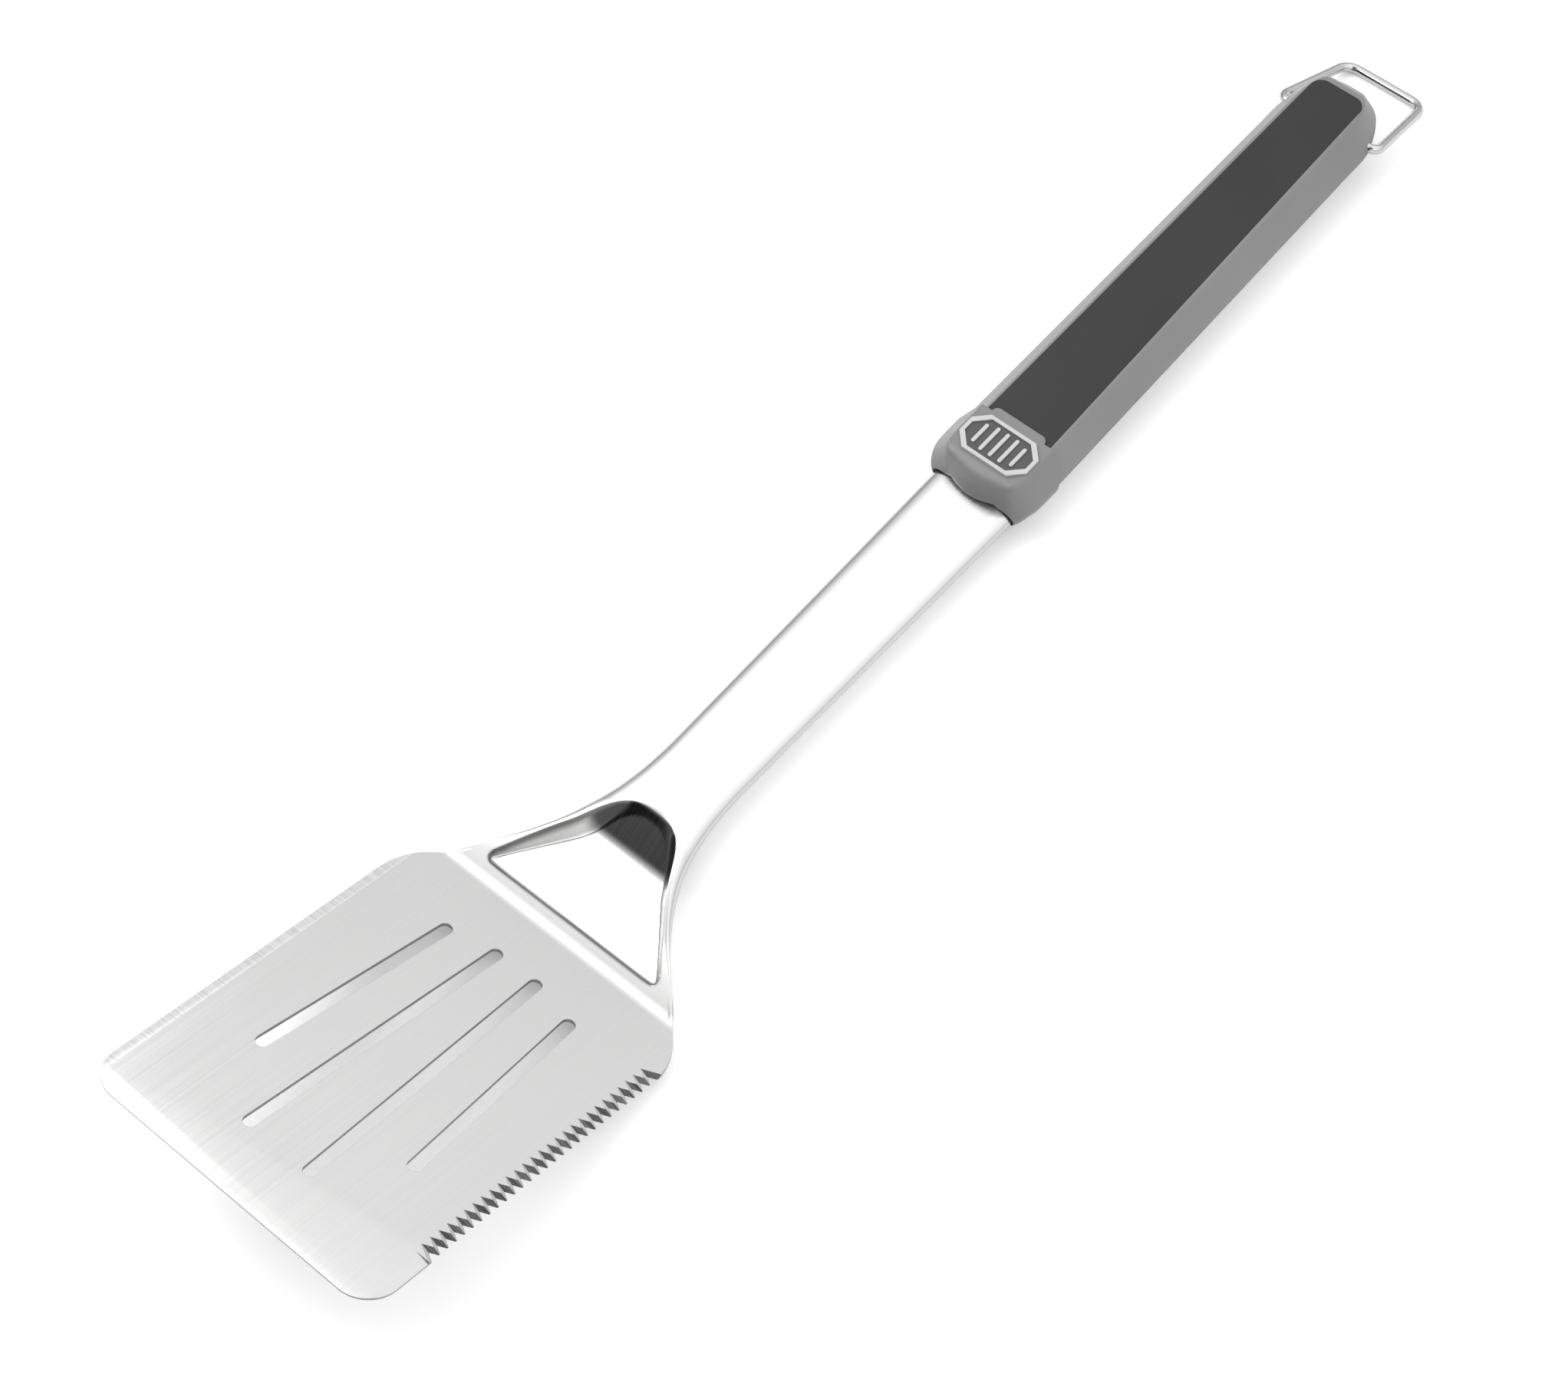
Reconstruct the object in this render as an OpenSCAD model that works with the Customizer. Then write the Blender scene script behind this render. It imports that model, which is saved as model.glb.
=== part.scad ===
// Grill spatula: a slotted steel turner with one serrated edge, a long shank, a two-shell handle
// with soft grip inlays, a collar with a plaque, and a wire loop that swings on the handle's tail.
// Millimetres. +X runs from the blade to the tail, +Y is the ground edge's side, +Z is up.
// The spatula lies as it rests: on the heel of the blade and on the tail, with the blade's front raised.

/* [Blade] */
// Width across the blade
blade_w = 100; // [80:1:120]
// Length of the flat blade, from the front edge to the heel bend
blade_l = 122; // [105:1:140]
// Sheet thickness of the stamping
sheet = 1.2; // [1:0.1:1.5]
// Angle by which the blade's front is raised when the spatula lies on a table
blade_tilt = 19.5; // [18:0.1:22]
// Radius of the two front corners
corner_r = 10; // [6:1:14]
// Width of each slot
slot_w = 4; // [3:0.1:4]
// Number of ground notches along the serrated edge
teeth = 28; // [20:1:28]
// Spacing of the notches
tooth_pitch = 3; // [2.5:0.1:3]

/* [Shank] */
// Half width of the shank where it leaves the neck
shank_hw = 12.7; // [11:0.1:14]
// Half width of the shank at the collar
shank_end_hw = 14; // [12:0.1:14.2]
// Depth of the rolled edges below the crown
roll_depth = 3.4; // [2.5:0.1:4]

/* [Handle] */
// Half width of the handle behind the collar
handle_hw = 17.3; // [16.5:0.1:17.6]
// Half width of the handle in front of its tail
tail_hw = 15.9; // [15.2:0.1:16.4]
// Height of the handle's top face behind the collar
handle_top = 18.7; // [18:0.1:19.2]
// Height of the handle's top face at the tail
tail_top = 22.2; // [21.6:0.1:23]
// How far the collar stands out from the handle
collar_step = 1.1; // [0.8:0.1:1.5]

/* [Hanging loop] */
// Wire radius
wire_r = 1.5; // [1.2:0.1:1.6]
// Length of the loop from its pivot to its end bar
loop_l = 32.7; // [28:0.1:40]
// Radial clearance of the wire ends in the handle
pivot_gap = 0.06; // [0.04:0.01:0.1]

/* [Hidden] */
$fn = 64;

// Stations along the handle, measured from the heel.
collar_front_x = 172.5;
collar_top_x = 180.6;
collar_rear_x = 194.6;
spigot_x = 182;
body_x = 186.5;
grip_front_x = 195;
grip_tail_x = 347.7;
cap_x = 338;
flat_end_x = 349.2;
tail_x = 356;
pivot_x = 341.2;
pivot_z = 12.7;
tang_end_x = 262;
core_end_x = 330;

// The two shells part along the widest line of the handle, which rises toward the tail.
split_front_z = 11.2;
split_rise = atan((pivot_z - split_front_z) / (pivot_x - grip_front_x));
top_rise = atan((tail_top - handle_top) / (flat_end_x - grip_front_x));
handle_low = 0.7;
low_fall = atan(handle_low / (flat_end_x - grip_front_x));

// The loop hangs down from its pivot until its end bar lies on the table.
droop = asin((pivot_z - wire_r) / loop_l);

// The bounding box is centred on x = 0.
front_edge_x = -blade_l * cos(blade_tilt);
loop_tip_x = pivot_x + loop_l * cos(droop) + wire_r;
heel_x = -(front_edge_x + loop_tip_x) / 2;

// Neck and shank, side view: the crown rises from the heel and then runs level to the collar.
crown_x = 38;
crown_z = 12.35;
crown_fall = 0.8;
neck_end_x = 62;
shank_end_x = 180;
dish_x = 4.4;
dish_hw = 31.5;
dish_turn_x = 30;
dish_turn_hw = 14.4;
dish_end_x = 42.5;

// Tang and core
tang_hw = 9;
tang_z = 8.8;
core_hw = 9.5;
core_low_z = 5;
core_high_z = 15.4;
rivet_r = 2;
rivet_xs = [208, 246];

// Grip inlays
grip_hw = 11.3;
grip_tail_hw = 9;
grip_t = 1.8;
grip_gap = 0.12;
grip_proud = 0.2;

// Plaque
plaque_x = 186.2;
plaque_l = 13.6;
plaque_w = 24;
plaque_cut = 4;
plaque_base = 0.5;
plaque_rim = 1.1;
plaque_t = 1.2;
bar_count = 5;

// Loop
loop_pin_y = 8;
loop_hw = 17.6;
loop_end_hw = 14;
loop_bend_r = 2.8;
loop_corner_r = 5;

function lerp(a, b, u) = a + (b - a) * u;
function bez(p, u) =
    pow(1 - u, 3) * p[0] + 3 * pow(1 - u, 2) * u * p[1] + 3 * (1 - u) * u * u * p[2] + pow(u, 3) * p[3];
function bez_points(p, n) = [for (i = [0:n]) bez(p, i / n)];
function arc_points(c, r, a, b, n) =
    [for (i = [0:n]) c + r * [cos(lerp(a, b, i / n)), sin(lerp(a, b, i / n))]];
function reversed(list) = [for (i = [len(list) - 1:-1:0]) list[i]];
function mirrored(list) = [for (p = reversed(list)) [p[0], -p[1]]];
function unit(v) = v / norm(v);

// Rounds each corner of a convex outline, given anticlockwise, with n steps a corner.
function round_corner(a, b, c, r, n) =
    let (u = unit(a - b), v = unit(c - b), half = acos(u * v) / 2, cut = r / tan(half),
         m = b + unit(u + v) * r / sin(half), s = b + u * cut, e = b + v * cut,
         t0 = atan2(s[1] - m[1], s[0] - m[0]), t1 = atan2(e[1] - m[1], e[0] - m[0]),
         turn = t1 - t0 < -180 ? t1 - t0 + 360 : (t1 - t0 > 180 ? t1 - t0 - 360 : t1 - t0))
    [for (i = [0:n]) m + r * [cos(t0 + turn * i / n), sin(t0 + turn * i / n)]];
function rounded(p, r, n = 4) =
    [for (i = [0:len(p) - 1]) each round_corner(p[(i + len(p) - 1) % len(p)], p[i], p[(i + 1) % len(p)], r, n)];

// Moves the shape from the spatula's heel to its place in the bounding box.
module place() {
    translate([heel_x, 0, 0]) children();
}

// The blade's own frame: x from the front edge, z = 0 on the top face.
module blade_frame() {
    rotate([0, blade_tilt, 0]) translate([-blade_l, 0, sheet]) children();
}

// Prism of an outline in x and z, centred on y = 0.
module side_prism(points, width) {
    translate([0, width / 2, 0]) rotate([90, 0, 0]) linear_extrude(width) polygon(points);
}

// Slab across the handle: an outline in y and z, drawn at x.
module slab(x, points, thickness = 0.02) {
    translate([x, 0, 0]) rotate([90, 0, 90]) linear_extrude(thickness) polygon(points);
}

// ---------- blade, neck and shank ----------

shoulder_r = 20;
shoulder_turn = 43;
shoulder_x = 104;
neck_side = [[6, 35.8], [20, 22.3], [31.5, shank_hw], [neck_end_x, shank_hw]];
crown_side = [[0.41, 1.13], [10.2, 6.3], [24.6, crown_z + 0.2], [crown_x, crown_z]];
dish_side = [[28.5, 6.5], [33, 7.3], [34.5, crown_z + 0.1], [dish_end_x, crown_z - 0.1]];

function crown_at(x) = crown_z - (x - crown_x) * tan(crown_fall);

function blade_half() = concat(
    arc_points([corner_r, blade_w / 2 - corner_r], corner_r, 180, 90, 12),
    arc_points([shoulder_x, blade_w / 2 - shoulder_r], shoulder_r, 90, 90 - shoulder_turn, 10),
    [[blade_l + 0.4, blade_w / 2 - shoulder_r * (1 - cos(shoulder_turn))
        - (blade_l + 0.4 - shoulder_x - shoulder_r * sin(shoulder_turn)) * tan(shoulder_turn)]]);

module blade_outline() {
    polygon(concat(blade_half(), mirrored(blade_half())));
}

module slot(a, b) {
    span = norm(b - a);
    turn = atan2(b[1] - a[1], b[0] - a[0]);
    translate([a[0], a[1], -sheet - 1]) rotate([0, 0, turn]) {
        cylinder(r = slot_w / 2, h = sheet + 2);
        translate([span, 0, 0]) cylinder(r = slot_w / 2, h = sheet + 2);
        translate([0, -slot_w / 2, 0]) cube([span, slot_w, sheet + 2]);
    }
}

// Two slots on each side of the middle, each given by the centres of its round ends.
outer_slot = [[39.6, 27], [101.4, 22.2]];
inner_slot = [[19.5, 10.6], [104.9, 7.1]];

module slots() {
    for (side = [-1, 1], ends = [outer_slot, inner_slot]) {
        slot([ends[0][0], side * ends[0][1]], [ends[1][0], side * ends[1][1]]);
    }
}

// Ground bevels take the top corner off along the front, the left edge and the front of the right edge.
front_bevel_w = 5.8;
left_bevel_w = 3.2;
right_bevel_w = 4.4;
right_bevel_l = 24.2;
right_bevel_x = 9;
front_land = 0.4;
side_land = 0.5;

module ground_bevel(length, width, land) {
    side_prism([[-1, land - sheet - (sheet - land) / width], [width, 0], [width, 1], [-1, 1]], length);
}

module bevels() {
    ground_bevel(blade_w + 2, front_bevel_w, front_land);
    translate([blade_l / 2, blade_w / 2, 0]) rotate([0, 0, -90]) ground_bevel(blade_l, left_bevel_w, side_land);
    translate([right_bevel_x, -blade_w / 2, 0]) rotate([0, 0, 90])
        ground_bevel(right_bevel_l, right_bevel_w, side_land);
}

// A row of V grooves, each running down and out through the edge, which is itself ground back a little.
serration_x = 22.2;
groove_in = 5.2;
groove_fall = 25;
groove_run = 9;
groove_open = 2.4;
ground_back = 0.35;

module serrations() {
    groove_hw = groove_open * tooth_pitch / 2;
    groove_depth = groove_open * sheet;
    for (i = [0:teeth - 1]) {
        translate([serration_x + (i + 0.5) * tooth_pitch, groove_in - blade_w / 2, 0])
            rotate([90 + groove_fall, 0, 0])
                linear_extrude(groove_run)
                    polygon([[0, 0], [groove_hw, groove_depth], [-groove_hw, groove_depth]]);
    }
    translate([serration_x, -blade_w / 2 - 1, -sheet - 1])
        cube([teeth * tooth_pitch, 1 + ground_back, sheet + 2]);
}

// The plate laps a little into the neck, and is trimmed level with the table there.
module blade_plate() {
    difference() {
        blade_frame() difference() {
            translate([0, 0, -sheet]) linear_extrude(sheet) blade_outline();
            slots();
            bevels();
            serrations();
        }
        translate([-5, -blade_w / 2, -5]) cube([10, blade_w, 5]);
    }
}

// Neck outlines seen from above, from the heel to the shank.
function neck_half() = concat([[-0.6, 42]], bez_points(neck_side, 16));
function dish_half() = concat(
    [[dish_x, dish_hw - 1.5], [dish_x + 1.5, dish_hw - 0.6]],
    [for (i = [0:8]) [dish_turn_x + (dish_end_x - dish_turn_x) * sin(i * 90 / 8), dish_turn_hw * cos(i * 90 / 8)]]);

module plan(half) {
    linear_extrude(60, center = true) polygon(concat(half, mirrored(half)));
}

function crown_line() = concat(bez_points(crown_side, 14), [[neck_end_x, crown_at(neck_end_x)]]);
function below(line, drop) = [for (p = reversed(line)) [p[0], max(0, p[1] - drop)]];
function dish_line() = concat([[dish_x - 1.2, 1.2]], bez_points(dish_side, 10));

// Depth of the rolled edge grows from nothing at the heel to its full depth along the shank.
roll_start_x = 4;
roll_full_x = 28;
function roll_share(x) = min(1, max(0, (x - roll_start_x) / (roll_full_x - roll_start_x)));
function roll_line() = [for (p = reversed(crown_line()))
    [p[0], max(0, p[1] - sheet - (roll_depth - sheet) * roll_share(p[0]))]];

module neck() {
    // rim sheet around the dish
    difference() {
        intersection() {
            side_prism(concat(crown_line(), below(crown_line(), sheet + 0.15)), 90);
            plan(neck_half());
        }
        plan(dish_half());
    }
    // dished panel
    intersection() {
        side_prism(concat(dish_line(), below(dish_line(), sheet + 0.1)), 90);
        plan(dish_half());
    }
    // wall between the rim and the panel
    difference() {
        intersection() {
            side_prism(concat(crown_line(), below(dish_line(), sheet + 0.1)), 90);
            plan(dish_half());
        }
        translate([sheet, 0, 0]) plan([for (p = dish_half()) [p[0] > dish_turn_x ? p[0] - 2 * sheet : p[0],
                                                           max(0, p[1] - sheet * 1.3)]]);
    }
    // rolled edges
    difference() {
        intersection() {
            side_prism(concat(crown_line(), roll_line()), 90);
            plan(neck_half());
        }
        translate([-0.8, 0, 0]) plan([for (p = neck_half()) [p[0], p[1] - sheet]]);
    }
}

// One rolled edge of the shank, in section: a quarter round that ends in a short flange.
roll_r = 2.6;
function roll_section() = concat(
    [[0, 0]],
    arc_points([roll_r, -roll_r], roll_r, 90, 0, 6),
    [[2 * roll_r, -roll_depth], [2 * roll_r - sheet, -roll_depth]],
    arc_points([roll_r, -roll_r], roll_r - sheet, 0, 90, 6),
    [[0, -sheet]]);

module shank() {
    span = shank_end_x - neck_end_x;
    flare = atan((shank_end_hw - shank_hw) / span);
    translate([neck_end_x, 0, crown_at(neck_end_x)]) rotate([0, crown_fall, 0]) {
        for (side = [-1, 1]) {
            mirror([0, side < 0 ? 1 : 0, 0])
                translate([0, shank_hw - 2 * roll_r, 0]) rotate([90, 0, 90 + flare])
                    translate([0, 0, -0.3]) linear_extrude(span + 0.3) polygon(roll_section());
        }
        translate([0, 0, -sheet]) linear_extrude(sheet)
            polygon([[-0.3, roll_r - shank_hw], [span, roll_r - shank_end_hw],
                     [span, shank_end_hw - roll_r], [-0.3, shank_hw - roll_r]]);
    }
}

module tang() {
    difference() {
        translate([shank_end_x - 3, -tang_hw, tang_z])
            cube([tang_end_x - shank_end_x + 3, 2 * tang_hw, sheet]);
        for (x = rivet_xs) translate([x, 0, tang_z - 1]) cylinder(r = rivet_r, h = sheet + 2);
    }
}

module blade_stamping() {
    color("silver") place() {
        blade_plate();
        neck();
        shank();
        tang();
    }
}

module tang_rivets() {
    color("gainsboro") place() for (x = rivet_xs)
        translate([x, 0, core_low_z]) cylinder(r = rivet_r, h = core_high_z - core_low_z);
}

// ---------- handle ----------

function along(x) = (x - grip_front_x) / (flat_end_x - grip_front_x);
function top_at(x) = lerp(handle_top, tail_top, along(x));
function low_at(x) = lerp(handle_low, 0, along(x));
function side_at(x) = lerp(handle_hw, tail_hw, (x - grip_front_x) / (cap_x - grip_front_x));
function crease_at(x) = top_at(x) - lerp(6.9, 9, along(x));

// Eight-sided section with soft edges: flat top and bottom, sloping faces and narrow upright sides.
side_h = 1.5;
function section(flat_hw, hw, top, crease, low, r = 1.5) = rounded([
    [hw, crease - side_h], [hw, crease], [flat_hw, top], [-flat_hw, top],
    [-hw, crease], [-hw, crease - side_h], [-flat_hw, low], [flat_hw, low]], r);

// The body is hulled through sections at stations along it, the last six of them round the tail.
module handle_body() {
    hull() {
        slab(body_x, section(11.9, side_at(body_x), top_at(body_x), crease_at(body_x), low_at(body_x)));
        slab(cap_x, section(9.8, tail_hw, top_at(cap_x), crease_at(cap_x), 0));
        slab(342.5, section(9.5, 14.8, top_at(342.5), crease_at(342.5), 0));
        slab(346.8, section(8.4, 13, top_at(346.8), crease_at(346.8), 0.4));
        slab(flat_end_x, section(5.8, 11.7, tail_top, 13.4, 1.6));
        slab(352.2, section(4.6, 9.5, tail_top - 3.6, 13.2, 4.4, 1.2));
        slab(354.6, section(3, 6.4, 16, 12.9, 8, 0.8));
        slab(tail_x - 0.02, section(1.8, 3, 14, 12.7, 10, 0.3));
    }
    slab(spigot_x, section(9, 14.2, 15.5, 11.8, 3.6), body_x - spigot_x + 0.5);
}

// Outline of a grip inlay, from above.
module grip_outline(gap = 0) {
    turn = atan((grip_hw - grip_tail_hw) / (grip_tail_x - grip_front_x));
    polygon(concat(
        [[grip_front_x - gap, -grip_hw - gap]],
        arc_points([grip_tail_x - 4, -grip_tail_hw + 4], 4 + gap, -90 + turn, 0, 6),
        arc_points([grip_tail_x - 4, grip_tail_hw - 4], 4 + gap, 0, 90 - turn, 6),
        [[grip_front_x - gap, grip_hw + gap]]));
}

// Inlay under the handle's top face, from depth a below the face to height b above it.
module top_slab(a, b, gap = 0) {
    translate([grip_front_x, 0, handle_top]) rotate([0, -top_rise, 0]) translate([-grip_front_x, 0, -a])
        linear_extrude(a + b) grip_outline(gap);
}

// The same for the handle's lower face.
module low_slab(a, b, gap = 0) {
    translate([grip_front_x, 0, handle_low]) rotate([0, low_fall, 0]) translate([-grip_front_x, 0, -b])
        linear_extrude(a + b) grip_outline(gap);
}

// Hollow of the shells from x front to the core's tail end.
module core_space(front) {
    translate([front, -core_hw, core_low_z])
        cube([core_end_x - front, 2 * core_hw, core_high_z - core_low_z]);
}

// Half space above the joint between the two shells.
module above_split() {
    translate([pivot_x, 0, pivot_z]) rotate([0, -split_rise, 0]) translate([-200, -30, 0]) cube([260, 60, 40]);
}

// Bores for the wire ends, each with a wider mouth at the side of the handle.
bore_mouth_r = 2.7;
bore_mouth_y = 13.4;
bore_mouth_back = 0.9;

module pivot_bores() {
    for (side = [-1, 1]) {
        translate([pivot_x, side * (loop_pin_y - 0.3), pivot_z]) rotate([-90 * side, 0, 0])
            cylinder(r = wire_r + pivot_gap, h = 12);
        translate([pivot_x - bore_mouth_back, side * bore_mouth_y, pivot_z]) rotate([-90 * side, 0, 0])
            cylinder(r = bore_mouth_r, h = 6);
    }
}

module upper_shell() {
    color("gray") place() difference() {
        intersection() {
            handle_body();
            above_split();
        }
        core_space(spigot_x - 1);
        top_slab(grip_t - grip_proud, 3, grip_gap);
        pivot_bores();
    }
}

module lower_shell() {
    color("dimgray") place() difference() {
        handle_body();
        above_split();
        core_space(spigot_x - 1);
        low_slab(grip_t - grip_proud, 3, grip_gap);
        pivot_bores();
    }
}

module handle_core() {
    color("darkslategray") place() difference() {
        core_space(spigot_x);
        translate([0, -tang_hw, tang_z]) cube([tang_end_x, 2 * tang_hw, sheet]);
        for (x = rivet_xs) translate([x, 0, 0]) cylinder(r = rivet_r, h = 20);
    }
}

module top_grip() {
    color("black") place() top_slab(grip_t - grip_proud, grip_proud);
}

// The lower inlay lies just inside the shell's face, so that the shell takes the wear.
module under_grip() {
    color("black") place() low_slab(grip_t - grip_proud, -0.1);
}

// ---------- collar and plaque ----------

collar_top = handle_top + collar_step + 0.1;
collar_hw = handle_hw + collar_step;
opening_hw = shank_end_hw + 0.35;
opening_low = 5;
opening_high = 10.85;

module collar_blank() {
    hull() {
        slab(collar_front_x + 1.7, section(9.8, 15.3, 13.4, 9.6, 3.4, 1));
        slab(collar_front_x + 4.7, section(11.6, 16.9, 19.3, 11.8, 1.6, 1.2));
        slab(collar_top_x, section(12.7, collar_hw, collar_top, 12.3, 0.5, 1.2));
        slab(collar_rear_x - 0.02, section(12.7, collar_hw, collar_top, 12.3, 0.4, 1.2));
    }
    hull() {
        slab(collar_front_x + 1.7, section(7, 10.4, 13.4, 9.6, 3.4, 1));
        slab(collar_front_x, section(3, 6, 12.2, 9.6, 3.8, 1));
    }
}

// The collar's rear edge leans forward down each side, between these two heights.
collar_side_x = 188;
lean_high_z = 18.2;
lean_low_z = 9;

module rear_lean() {
    side_prism([[collar_rear_x, lean_high_z], [collar_rear_x + 9, lean_high_z], [collar_rear_x + 9, -5],
                [collar_side_x, -5], [collar_side_x, lean_low_z]], 60);
}

module tongue() {
    translate([0, 0, handle_top + 0.3]) linear_extrude(collar_top - handle_top - 0.3)
        polygon(concat([[185, -9.4]], arc_points([194.7, -7.4], 2, -90, 0, 4),
                       arc_points([194.7, 7.4], 2, 0, 90, 4), [[185, 9.4]]));
}

module collar() {
    color("gray") place() difference() {
        union() {
            difference() {
                collar_blank();
                rear_lean();
                // opening for the shank
                slab(collar_front_x - 5, rounded([
                    [opening_hw, opening_low], [opening_hw, opening_high],
                    [-opening_hw, opening_high], [-opening_hw, opening_low]], 2.7), spigot_x - collar_front_x + 5);
                // socket for the handle's spigot and front end
                slab(spigot_x - 0.1, section(9.05, 14.25, 15.55, 11.85, 3.55), 20);
                slab(body_x - 0.1, section(12, handle_hw + 0.15, handle_top + 0.05, 11.8, handle_low - 0.05), 20);
            }
            tongue();
        }
        // pocket for the plaque
        translate([0, 0, collar_top - plaque_base]) linear_extrude(5) plaque_outline(0.05);
    }
}

// Long octagon, its length across the collar.
module plaque_outline(grow = 0) {
    l = plaque_l / 2 + grow;
    w = plaque_w / 2 + grow;
    translate([plaque_x, 0, 0]) polygon([
        [l, plaque_cut - w], [l, w - plaque_cut], [l - plaque_cut, w], [plaque_cut - l, w],
        [-l, w - plaque_cut], [-l, plaque_cut - w], [plaque_cut - l, -w], [l - plaque_cut, -w]]);
}

module plaque_rim() {
    color("white") place() translate([0, 0, collar_top - plaque_base]) difference() {
        linear_extrude(plaque_t) plaque_outline();
        translate([0, 0, plaque_base - 0.1]) linear_extrude(5) plaque_outline(-plaque_rim);
    }
}

module plaque_field() {
    color("dimgray") place() translate([0, 0, collar_top - 0.1])
        linear_extrude(0.3) plaque_outline(-plaque_rim);
}

// Raised bars of a cooking grate, each with round ends. The two outer ones are shorter.
bar_pitch = 3.4;
bar_l = 8.2;
outer_bar_l = 6.2;
bar_r = 0.55;
bar_t = 0.5;

module plaque_bars() {
    color("white") place() translate([plaque_x, 0, collar_top + 0.2]) for (i = [0:bar_count - 1]) {
        y = (i - (bar_count - 1) / 2) * bar_pitch;
        bar = i == 0 || i == bar_count - 1 ? outer_bar_l : bar_l;
        translate([-bar / 2, y - bar_r, 0]) cube([bar, 2 * bar_r, bar_t]);
        for (side = [-1, 1]) translate([side * bar / 2, y, 0]) cylinder(r = bar_r, h = bar_t, $fn = 24);
    }
}

// ---------- hanging loop ----------

// Straight wire between two points of the loop's own plane.
module wire(a, b) {
    translate([a[0], a[1], 0]) rotate([0, 0, atan2(b[1] - a[1], b[0] - a[0])]) rotate([0, 90, 0])
        cylinder(r = wire_r, h = norm(b - a));
}

// Bend of centre-line radius r about c, from angle a through turn degrees. It is a little thinner than
// the straight wire, which laps over its ends.
bend_thinning = 0.03;
module bend(c, r, a, turn) {
    translate([c[0], c[1], 0]) rotate([0, 0, a]) rotate_extrude(angle = turn) translate([r, 0])
        circle(r = wire_r - bend_thinning);
}

lean = atan((loop_hw - loop_end_hw) / loop_l);
cut_a = loop_bend_r * tan((90 + lean) / 2);
cut_b = loop_corner_r * tan((90 - lean) / 2);
run = [cos(lean), -sin(lean)];
lap = 0.15;

module loop_half() {
    wire([0, loop_pin_y], [0, loop_hw - cut_a + lap]);
    bend([loop_bend_r, loop_hw - cut_a], loop_bend_r, 90 - lean, 90 + lean);
    wire([0, loop_hw] + run * (cut_a - lap), [loop_l, loop_end_hw] - run * (cut_b - lap));
    bend([loop_l - loop_corner_r, loop_end_hw - cut_b], loop_corner_r, 0, 90 - lean);
}

module hanging_loop() {
    end_hw = loop_end_hw - cut_b + lap;
    color("silver") place() translate([pivot_x, 0, pivot_z]) rotate([0, droop, 0]) {
        loop_half();
        mirror([0, 1, 0]) loop_half();
        wire([loop_l, -end_hw], [loop_l, end_hw]);
    }
}

blade_stamping();
tang_rivets();
handle_core();
upper_shell();
lower_shell();
top_grip();
under_grip();
collar();
plaque_rim();
plaque_field();
plaque_bars();
hanging_loop();
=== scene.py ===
"""Looks for the grill spatula: smooth steel, moulded handle, soft inlay and wire loop around the CAD frame.

Lengths here are millimetres measured from the blade's heel (X towards the tail, Y towards the blade's
plain bevelled edge, Z up from the table); place() turns them into the frame's metres.
"""

import math

import bmesh
import bpy
import numpy as np
from mathutils import Matrix, Vector


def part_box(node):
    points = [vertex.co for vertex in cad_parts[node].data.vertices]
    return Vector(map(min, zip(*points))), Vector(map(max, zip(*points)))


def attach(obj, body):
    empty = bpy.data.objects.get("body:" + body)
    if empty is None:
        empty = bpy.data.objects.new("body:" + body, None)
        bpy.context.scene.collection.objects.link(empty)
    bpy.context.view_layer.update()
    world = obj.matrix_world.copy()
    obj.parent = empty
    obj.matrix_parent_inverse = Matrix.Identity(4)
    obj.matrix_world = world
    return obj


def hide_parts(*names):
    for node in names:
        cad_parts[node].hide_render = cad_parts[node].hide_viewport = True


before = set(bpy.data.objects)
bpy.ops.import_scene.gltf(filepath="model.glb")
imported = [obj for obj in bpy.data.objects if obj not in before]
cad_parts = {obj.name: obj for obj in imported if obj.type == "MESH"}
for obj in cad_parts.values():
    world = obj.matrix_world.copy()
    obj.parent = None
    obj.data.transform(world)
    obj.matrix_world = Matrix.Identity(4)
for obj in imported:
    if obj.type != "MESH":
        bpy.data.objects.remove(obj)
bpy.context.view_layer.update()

# ---------- driving sizes, as in the CAD ----------
TILT = math.radians(19.5)        # the blade's front is raised by this
BLADE_L, SHEET = 122.0, 1.2
CROWN_X, CROWN_Z, CROWN_FALL = 38.0, 12.35, math.radians(0.8)
NECK_END, SHANK_END = 62.0, 181.0
SHANK_HW, SHANK_END_HW = 12.7, 14.0
ROLL_R, ROLL_DEPTH = 2.6, 3.4
GRIP_FRONT, GRIP_TAIL = 195.0, 347.7
HANDLE_TOP, TAIL_TOP = 18.7, 22.2
FLAT_END = 349.2
PIVOT_X, PIVOT_Z = 341.2, 12.7
WIRE_R, LOOP_L = 1.5, 32.7

HEEL_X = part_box("blade_stamping")[0].x * 1000 + BLADE_L * math.cos(TILT)


def place(p):
    """Heel millimetres to the frame's metres."""
    return Vector(((p[0] + HEEL_X) / 1000, p[1] / 1000, p[2] / 1000))


def lerp(a, b, t):
    return a + (b - a) * t


def smooth(a, b, x):
    t = min(1.0, max(0.0, (x - a) / (b - a)))
    return t * t * (3 - 2 * t)


def bezier(p, u):
    v = 1 - u
    return tuple(v**3 * a + 3 * v * v * u * b + 3 * v * u * u * c + u**3 * d for a, b, c, d in zip(*p))


def curve_at(p, n=400):
    """z or y of a bezier as a function of x, by table."""
    pts = np.array([bezier(p, i / n) for i in range(n + 1)])
    return lambda x: float(np.interp(x, pts[:, 0], pts[:, 1]))


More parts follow.
